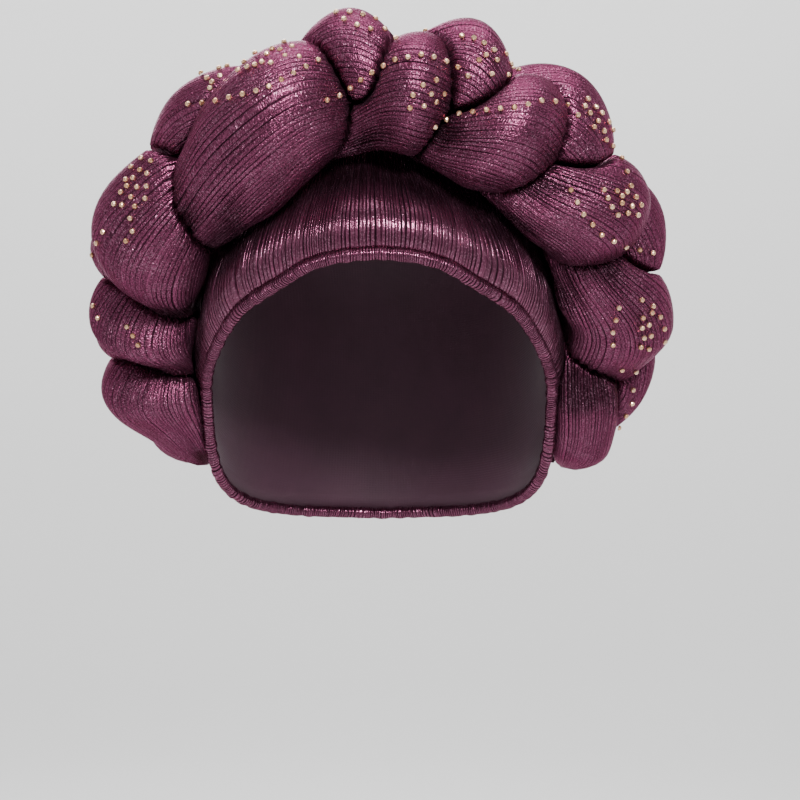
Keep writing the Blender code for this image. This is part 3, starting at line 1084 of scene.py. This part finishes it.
def view_ray(stage, pixel):
    """The direction from the camera's place through a pixel of the square view."""
    half = 0.5 * VIEW_PIXELS
    reach = np.tan(np.radians(stage.half_view))
    return Vector(((pixel[0] - half) / half * reach, 1.0, (half - pixel[1]) / half * reach)).normalized()


def row_pixels(points, pitch):
    """Places at an even pitch along straight runs through the points."""
    points = np.array(points, dtype=float)
    end = way_along(points)[-1]
    return points_at(points, np.linspace(0.0, end, max(int(round(end / pitch)), 1) + 1))


def stone_seats(scene):
    """Where the stones sit on the strands, and which way each faces.

    A stone of the front is where the ray through its pixel meets a strand. One at the back lies
    along a line of the strand's own surface. A stone too close to an earlier one is left out.
    """
    stage, stones = scene.gele_stage, scene.gele_stones
    grids = [strand_grid(scene, strand) for strand in range(3)]
    points = np.concatenate([grid.reshape(-1, 3) for grid, _ in grids])
    each = SEAT_STATIONS * SEAT_SIDES
    quads = np.concatenate([strip_faces(SEAT_STATIONS, SEAT_SIDES) + i * each for i in range(3)])
    tree = BVHTree.FromPolygons(points.tolist(), quads.tolist())
    middles = np.concatenate([np.repeat(centre, SEAT_SIDES, axis=0) for _, centre in grids])
    eye = Vector(stage.camera_place)
    metres = 2.0 * np.tan(np.radians(stage.half_view)) * BRAID_AWAY / VIEW_PIXELS
    wanted = [p for row in FRONT_ROWS.values() for p in row_pixels(row, stones.pitch / metres)]
    wanted += [p for cluster in FRONT_CLUSTERS.values() for p in cluster]
    seats, faces_out = [], []

    def keep(place, normal, quad):
        inward = Vector(middles[quads[quad][0]]) - place
        normal = -normal if normal.dot(inward) > 0.0 else normal
        if all((place - other).length > CLOSEST * stones.diameter for other in seats):
            seats.append(place)
            faces_out.append(normal)

    for pixel in wanted:
        place, normal, quad, _ = tree.ray_cast(eye, view_ray(stage, pixel))
        if place is not None:
            keep(place, normal, quad)
    lobes = np.linspace(FIRST_LOBE, LAST_LOBE, SEAT_STATIONS)
    for strand, first, last, angle in BACK_ROWS:
        column = int(round((angle + 90.0) / 360.0 * SEAT_SIDES)) % SEAT_SIDES
        line = grids[strand][0][(lobes >= first) & (lobes <= last), column]
        for place in points_at(line, np.arange(0.0, way_along(line)[-1], stones.pitch)):
            near, normal, quad, _ = tree.find_nearest(Vector(place))
            keep(near, normal, quad)
    return np.array(seats), np.array(faces_out)


def stone_form(stones):
    """One stone: a flat base, a short girdle, slanted facets and a flat table, as rings of points."""
    n = stones.facets
    angle = np.arange(n) * 2.0 * np.pi / n
    half = 0.5 * angle[1]
    radius, tall = 0.5 * stones.diameter, stones.height
    rings = [(0.94, -0.30, 0.0), (1.0, 0.25, 0.0), (0.82, 0.68, half), (0.52, 1.0, 0.0)]
    points = np.concatenate(
        [
            np.stack([share * np.cos(angle + turn), share * np.sin(angle + turn), 0.0 * angle + z], axis=-1)
            for share, z, turn in rings
        ]
    ) * [radius, radius, tall]
    faces = [tuple(reversed(range(n))), tuple(range(3 * n, 4 * n))]
    for s in range(n):
        after = (s + 1) % n
        faces.append((s, after, n + after, n + s))
        faces.append((n + s, n + after, 2 * n + s))
        faces.append((n + after, 2 * n + after, 2 * n + s))
        faces.append((2 * n + s, 2 * n + after, 3 * n + after))
        faces.append((2 * n + s, 3 * n + after, 3 * n + s))
    return points, faces


# Operators


class GELE_OT_fitted_cap(bpy.types.Operator):
    """Makes the pleated cap that fits the head"""

    bl_idname = "gele.fitted_cap"
    bl_label = "Fitted cap"

    def execute(self, context):
        cap, braid = context.scene.gele_cap, context.scene.gele_braid
        turns, rings, few = cap.turns, cap.rings, cap.turns // LINING_STEP
        around = np.arange(turns) / turns
        turn = np.where(around > 0.5, around - 1.0, around)[None, :] * 360.0
        # Rings lie closer together near the rim, and the pleats fade out at the rim and up to the crown
        share = np.linspace(0.0, 1.0, rings + 1)[:-1, None] ** RING_CROWDING
        rise, bare, out = cap_grid(cap, turn, share)
        fade = smoothstep(share / RIM_FADE) * (1.0 - smoothstep((share - CROWN_FADE) / CROWN_FADE_SPAN))
        u, v = share + 0.0 * turn, around[None, :] + 0.0 * share
        number = pleat_number(u, v, cap.pleats, 11, 0.25)
        dip = pleat_dip(number, u, cap.pleats, 12) * fade
        wave = CAP_WAVE * ripple(u, v, 13, 14, 2.0, 34) * fade
        outer = cap_point(cap, turn, rise, out - cap.pleat_depth * dip + wave)
        inner_turn = turn[:, ::LINING_STEP]
        inner_share = np.linspace(0.0, 1.0, LINING_RINGS + 1)[:-1, None]
        inner_rise, inner_bare, inner_out = cap_grid(cap, inner_turn, inner_share)
        inner = cap_point(cap, inner_turn, inner_rise, inner_out - cap.wall)
        pole = np.array([[0.0, 0.0, widest_level(cap) + cap.crown_rise]])
        inner_pole = pole - np.array([[0.0, 0.0, cap.wall]])
        points = np.concatenate([outer.reshape(-1, 3), pole, inner.reshape(-1, 3), inner_pole])

        # Faces: the outer side and its crown, the lining and its crown, and the rim between them
        top = turns * rings
        first, inner_top = top + 1, top + 1 + few * LINING_RINGS
        faces = strip_faces(rings, turns).tolist() + fan_faces(top - turns, turns, top).tolist()
        faces += (strip_faces(LINING_RINGS, few)[:, ::-1] + first).tolist()
        faces += fan_faces(inner_top - few, few, inner_top)[:, [1, 0, 2]].tolist()
        for s in range(few):
            rim = [(s * LINING_STEP + k) % turns for k in range(LINING_STEP, -1, -1)]
            faces.append((*rim, first + s, first + (s + 1) % few))

        # Texture places: metres up the cap, and pleats round it
        tall = climb(bare)
        number = np.concatenate([number, number[:, :1] + cap.pleats], axis=1)
        edge = np.stack([tall[-1], number[-1]], axis=-1)
        tip = edge[1:] * [0.0, 1.0] + [tall[-1].max() + CROWN_LEFT, 0.0]
        inner_tall = climb(inner_bare)
        inner_number = np.arange(few + 1)[None, :] / few * cap.pleats + 0.0 * inner_tall
        inner_edge = np.stack([inner_tall[-1], inner_number[-1]], axis=-1)
        rim_mark = np.zeros((few, LINING_STEP + 3, 2))
        rim_mark[..., 1] = np.arange(few)[:, None]
        marks = [
            strip_marks(tall, number),
            fan_marks(edge, tip),
            strip_marks(inner_tall, inner_number)[:, ::-1],
            fan_marks(inner_edge, inner_edge[1:] + [CROWN_LEFT, 0.0])[:, [1, 0, 2]],
            rim_mark,
        ]

        # Painted shadow under the braid: close to it the pleat value rises to 1, which darkens the cloth's
        # colour there
        lines = [strand_form(cap, braid, k, SHADOW_STATIONS, SHADOW_SIDES)[0] for k in range(3)]
        lines = np.concatenate(lines)
        away = np.linalg.norm(bare[:, ::LINING_STEP, None] - lines, axis=-1).min(axis=-1)
        near = 1.0 - smoothstep((away - braid.half_width) / BRAID_SHADOW_REACH)
        at = np.arange(turns) / LINING_STEP
        near = np.stack([np.interp(at, np.arange(few + 1), np.append(row, row[0])) for row in near])
        deep = (UNSHADED_DEEP + (1.0 - UNSHADED_DEEP) * near) * fade
        deep = np.concatenate([deep.ravel(), np.zeros(1 + len(inner_pole) + inner.size // 3)])
        finishes = context.scene.gele_finishes
        finish = pleated_lame(
            "pleated_cap_cloth", finishes, thread=0.0006, across=3.0, line_width=0.22, roughness=0.15,
            rough_cloth=0.34, gloss=0.40,
        )
        values = {"pleat_depth": deep}
        piece = new_piece("cap_cloth", points, faces, marks, values, finish, "fitted_cap")
        piece.data.materials.append(stretch_lining("cap_lining", finishes))
        lined = np.zeros(len(faces), dtype=np.int32)
        lined[-few * (LINING_RINGS + 1):-few] = 1
        piece.data.polygons.foreach_set("material_index", lined)
        piece.data.update()
        return {"FINISHED"}


class GELE_OT_face_hem(bpy.types.Operator):
    """Makes the rolled and gathered hem round the face opening"""

    bl_idname = "gele.face_hem"
    bl_label = "Face hem"

    def execute(self, context):
        cap, hem = context.scene.gele_cap, context.scene.gele_hem
        around = np.arange(hem.turns) / hem.turns
        turn = np.where(around > 0.5, around - 1.0, around) * 360.0
        rise = rim_rise(cap, turn)
        rim = cap_point(cap, turn, rise, -0.5 * cap.wall)
        run = unit(np.roll(rim, -RUN_STEP, axis=0) - np.roll(rim, RUN_STEP, axis=0))
        up = unit(cap_point(cap, turn, rise + 1.0, -0.5 * cap.wall) - rim)
        normal = unit(np.cross(run, up))
        away = np.cross(run, normal)
        away = np.where((away * up).sum(axis=-1, keepdims=True) > 0.0, -away, away)
        radius = 0.5 * hem.diameter
        centre = rim + away * (radius + hem.seam_gap)
        along = way_along(rim) / way_along(np.append(rim, rim[:1], axis=0))[-1]
        angle = np.arange(hem.sides) * 2.0 * np.pi / hem.sides
        lean = np.sin(2.0 * np.pi * GATHER_WAVES * along)[:, None]
        v = along[:, None] + GATHER_LEAN * np.sin(angle)[None, :] * lean
        number = pleat_number(0.0 * v, v, hem.ribs, 21, 0.0)
        dip = pleat_dip(number, 0.0 * v + angle[None, :] / GATHER_TURN, hem.ribs, 22)
        bulge = ROLL_BULGE * ripple(0.0 * v, v, 23, 12, 1.0, 120)
        grown = radius - hem.rib_depth * dip + bulge
        ring = away[:, None] * np.cos(angle)[None, :, None] + normal[:, None] * np.sin(angle)[None, :, None]
        points = centre[:, None] + ring * grown[..., None]
        faces = strip_faces(hem.turns, hem.sides).tolist()
        last = (hem.turns - 1) * hem.sides
        faces += [(last + s, last + (s + 1) % hem.sides, (s + 1) % hem.sides, s) for s in range(hem.sides)]
        wide = np.append(angle, 2.0 * np.pi) * radius
        number = np.concatenate([number, number[:, :1]], axis=1)
        number = np.concatenate([number, number[:1] + hem.ribs], axis=0)
        marks = [strip_marks(wide[None, :] + 0.0 * number, number)]
        finish = pleated_lame(
            "gathered_hem_cloth", context.scene.gele_finishes, thread=0.0006, across=2.0, line_width=0.30,
            roughness=0.15, rough_cloth=0.34, gloss=0.25,
        )
        values = {"pleat_depth": np.full(points.size // 3, UNSHADED_DEEP)}
        new_piece("hem_roll", points.reshape(-1, 3), faces, marks, values, finish, "face_hem")
        return {"FINISHED"}


class GELE_OT_braid_strands(bpy.types.Operator):
    """Makes the three padded strands of the braid"""

    bl_idname = "gele.braid_strands"
    bl_label = "Braid strands"

    def execute(self, context):
        cap, braid = context.scene.gele_cap, context.scene.gele_braid
        finish = pleated_lame(
            "pleated_braid_cloth", context.scene.gele_finishes, thread=0.0004, across=3.0, line_width=0.15,
            roughness=0.23, rough_cloth=1.00, gloss=0.04,
        )
        for strand in range(3):
            centre, step, reach, phase, way = strand_form(cap, braid, strand, braid.stations, braid.sides)
            along = (way - way[0])[:, None]
            v = (np.arange(braid.sides) / braid.sides)[None, :]
            angle = 2.0 * np.pi * v - 0.5 * np.pi
            u, v = along / BRAID_RUN + 0.0 * v, v + 0.0 * along
            number = pleat_number(u, v, braid.pleats, 31 + strand, 0.5)
            # Pleats are deep where a strand dives under its neighbours and shallow where it lies on top; the
            # same value paints shade on the cloth where it dives under them and on its front side
            buried = 0.5 - 0.5 * np.sin(2.0 * phase)[:, None]
            front = 0.5 - 0.5 * np.cos(angle)
            front_deep_and_shade = FRONT_DEEP_AND_SHADE * front * (FRONT_TOP_SHARE + (1.0 - FRONT_TOP_SHARE) * buried)
            deep = np.clip(TOP_DEEP + BURIED_DEEP_AND_SHADE * buried ** 2 + front_deep_and_shade, 0.0, 1.0)
            deep = deep * (DEEP_LEVEL + DEEP_UNEVEN * ripple(u, v, 41 + strand, 10, 14.0, 5))
            deep = np.clip(deep, DEEP_LEAST, 1.0)
            dip = pleat_dip(number, u * LINE_CHANGES, braid.pleats, 51 + strand) * deep
            fold = ripple(u, v, 61 + strand, 16, 9.0, 9)
            soft = ripple(u, v, 71 + strand, 10, 22.0, 3)
            shaped = reach - braid.pleat_depth * dip + FOLD_HEIGHT * fold * deep
            shaped = shaped + SWELL_HEIGHT * soft - DRAWN_IN
            points = centre[:, None] + step * np.maximum(shaped, THINNEST)[..., None]
            count = braid.stations * braid.sides
            ends = np.stack([points[0].mean(axis=0), points[-1].mean(axis=0)])
            faces = strip_faces(braid.stations, braid.sides).tolist()
            faces += fan_faces(0, braid.sides, count)[:, [1, 0, 2]].tolist()
            faces += fan_faces(count - braid.sides, braid.sides, count + 1).tolist()
            wide_along = np.concatenate([along + 0.0 * v, along], axis=1)
            wide_number = np.concatenate([number, number[:, :1] + braid.pleats], axis=1)
            marks = [strip_marks(wide_along, wide_number)]
            for row, order in ((0, [1, 0, 2]), (-1, [0, 1, 2])):
                edge = np.stack([wide_along[row], wide_number[row]], axis=-1)
                marks.append(fan_marks(edge, 0.5 * (edge[1:] + edge[:-1]))[:, order])
            letter = "abc"[strand]
            # The pleat value also paints shade into the cloth's colour; the two end tips get 1, the darkest
            values = {"pleat_depth": np.append(deep, [1.0, 1.0])}
            points = np.concatenate([points.reshape(-1, 3), ends])
            node = "braid_strand_" + letter
            piece = new_piece("strand_" + letter, points, faces, marks, values, finish, node)
        return {"FINISHED"}


class GELE_OT_gold_stones(bpy.types.Operator):
    """Sets the small gold stones on the braid in rows and clusters"""

    bl_idname = "gele.gold_stones"
    bl_label = "Gold stones"

    def execute(self, context):
        stones = context.scene.gele_stones
        seats, normals = stone_seats(context.scene)
        form, faces = stone_form(stones)
        rng = np.random.default_rng(81)
        helper = np.where(np.abs(normals[:, 2:]) < 0.9, [[0.0, 0.0, 1.0]], [[1.0, 0.0, 0.0]])
        across = unit(np.cross(helper, normals))
        other = np.cross(normals, across)
        spin = rng.uniform(0.0, 2.0 * np.pi, len(seats))[:, None]
        first = across * np.cos(spin) + other * np.sin(spin)
        second = np.cross(normals, first)
        tilt = rng.normal(0.0, STONE_TILT, (len(seats), 2))
        facing = unit(normals + first * tilt[:, :1] + second * tilt[:, 1:])
        first = unit(np.cross(second, facing))
        second = np.cross(facing, first)
        points = (
            seats[:, None]
            + first[:, None] * form[None, :, :1]
            + second[:, None] * form[None, :, 1:2]
            + facing[:, None] * form[None, :, 2:]
        )
        made = [tuple(i * len(form) + k for k in face) for i in range(len(seats)) for face in faces]
        tone = np.repeat(rng.uniform(0.0, 1.0, len(seats)), len(form))
        piece = new_piece(
            "gold_stones", points.reshape(-1, 3), made, None, {"stone_tone": tone},
            cut_stone("champagne_stone", context.scene.gele_finishes), None,
        )
        piece.data.shade_flat()
        return {"FINISHED"}


class GELE_OT_stage(bpy.types.Operator):
    """Makes the pale floor and backdrop, the soft lights and the camera"""

    bl_idname = "gele.stage"
    bl_label = "Stage"

    def execute(self, context):
        stage, scene = context.scene.gele_stage, context.scene
        # Floor and backdrop: a flat disc whose edge turns up a quarter circle into a round wall
        flat = stage.backdrop_radius - BEND_RADIUS
        sweep = np.linspace(0.0, 0.5 * np.pi, BEND_RINGS)
        floor = np.linspace(FLOOR_MIDDLE, flat, FLOOR_RINGS)[:-1]
        radius = np.concatenate([floor, flat + BEND_RADIUS * np.sin(sweep), [flat + BEND_RADIUS]])
        curve = BEND_RADIUS * (1.0 - np.cos(sweep))
        height = np.concatenate([0.0 * floor, curve, [BEND_RADIUS + WALL_HEIGHT]])
        turn = np.arange(STAGE_SIDES) * 2.0 * np.pi / STAGE_SIDES
        points = np.stack(
            [
                radius[:, None] * np.cos(turn)[None, :],
                radius[:, None] * np.sin(turn)[None, :],
                height[:, None] + stage.floor_level + 0.0 * turn[None, :],
            ],
            axis=-1,
        )
        faces = strip_faces(len(radius), STAGE_SIDES).tolist()
        faces.append(tuple(reversed(range(STAGE_SIDES))))
        mesh = bpy.data.meshes.new("studio_sweep")
        mesh.from_pydata(points.reshape(-1, 3).tolist(), [], faces)
        mesh.shade_smooth()
        mesh.materials.append(plain_stage("pale_paper", 0.80, stage.floor_level))
        sweep_object = bpy.data.objects.new("studio_sweep", mesh)
        scene.collection.objects.link(sweep_object)
        # Each light: its power, size, place and what it is aimed at
        middle = Vector((0.0, 0.0, widest_level(scene.gele_cap)))
        backdrop = Vector((0.0, 2.6, 0.5))
        lights = {
            "front": (stage.key_power, 0.24, Vector((0.20, -1.13, 0.48)), middle),
            "overhead": (stage.fill_power, 1.6, Vector((0.0, 0.15, 1.45)), middle),
            "back": (stage.fill_power * 0.25, 0.7, Vector((-0.3, 1.4, 0.6)), middle),
            "wall": (stage.fill_power * 1.35, 1.0, Vector((0.0, 0.9, 1.5)), backdrop),
        }
        for name, (power, size, place, aim) in lights.items():
            data = bpy.data.lights.new(name + "_softbox", "AREA")
            data.energy = power
            data.shape = "SQUARE"
            data.size = size
            light = bpy.data.objects.new(name + "_softbox", data)
            light.location = place
            light.rotation_euler = (aim - place).to_track_quat("-Z", "Y").to_euler()
            scene.collection.objects.link(light)
        world = bpy.data.worlds.new("studio")
        world.use_nodes = True
        world.node_tree.nodes["Background"].inputs[0].default_value = (1.0, 1.0, 1.0, 1.0)
        world.node_tree.nodes["Background"].inputs[1].default_value = stage.sky
        scene.world = world
        data = bpy.data.cameras.new("camera")
        data.sensor_width = SENSOR_WIDTH
        data.lens = 0.5 * SENSOR_WIDTH / np.tan(np.radians(stage.half_view))
        camera = bpy.data.objects.new("camera", data)
        camera.location = stage.camera_place
        camera.rotation_euler = (0.5 * np.pi, 0.0, 0.0)
        scene.collection.objects.link(camera)
        scene.camera = camera
        return {"FINISHED"}


class GELE_PT_pieces(bpy.types.Panel):
    """Lists the pieces and their sizes"""

    bl_label = "Tied gele"
    bl_idname = "GELE_PT_pieces"
    bl_space_type = "VIEW_3D"
    bl_region_type = "UI"
    bl_category = "Gele"

    def draw(self, context):
        for group, operator in PANEL_ROWS:
            box = self.layout.box()
            if operator:
                box.operator(operator)
            sizes = getattr(context.scene, group)
            for key in sizes.bl_rna.properties.keys():
                if key not in {"rna_type", "name"}:
                    box.prop(sizes, key)


PANEL_ROWS = [
    ("gele_finishes", None),
    ("gele_cap", "gele.fitted_cap"),
    ("gele_hem", "gele.face_hem"),
    ("gele_braid", "gele.braid_strands"),
    ("gele_stones", "gele.gold_stones"),
    ("gele_stage", "gele.stage"),
]
GROUPS = {
    "gele_cap": GeleCapSizes,
    "gele_hem": GeleHemSizes,
    "gele_braid": GeleBraidSizes,
    "gele_stones": GeleStoneSizes,
    "gele_finishes": GeleFinishes,
    "gele_stage": GeleStageSizes,
}
OPERATORS = [GELE_OT_fitted_cap, GELE_OT_face_hem, GELE_OT_braid_strands, GELE_OT_gold_stones, GELE_OT_stage]


def register():
    for group in GROUPS.values():
        bpy.utils.register_class(group)
    for operator in OPERATORS:
        bpy.utils.register_class(operator)
    bpy.utils.register_class(GELE_PT_pieces)
    for name, group in GROUPS.items():
        setattr(bpy.types.Scene, name, PointerProperty(type=group))


def unregister():
    for name in GROUPS:
        delattr(bpy.types.Scene, name)
    bpy.utils.unregister_class(GELE_PT_pieces)
    for operator in reversed(OPERATORS):
        bpy.utils.unregister_class(operator)
    for group in reversed(list(GROUPS.values())):
        bpy.utils.unregister_class(group)


def main():
    register()
    bpy.ops.gele.fitted_cap()
    bpy.ops.gele.face_hem()
    bpy.ops.gele.braid_strands()
    bpy.ops.gele.gold_stones()
    bpy.ops.gele.stage()


if __name__ == "__main__":
    main()
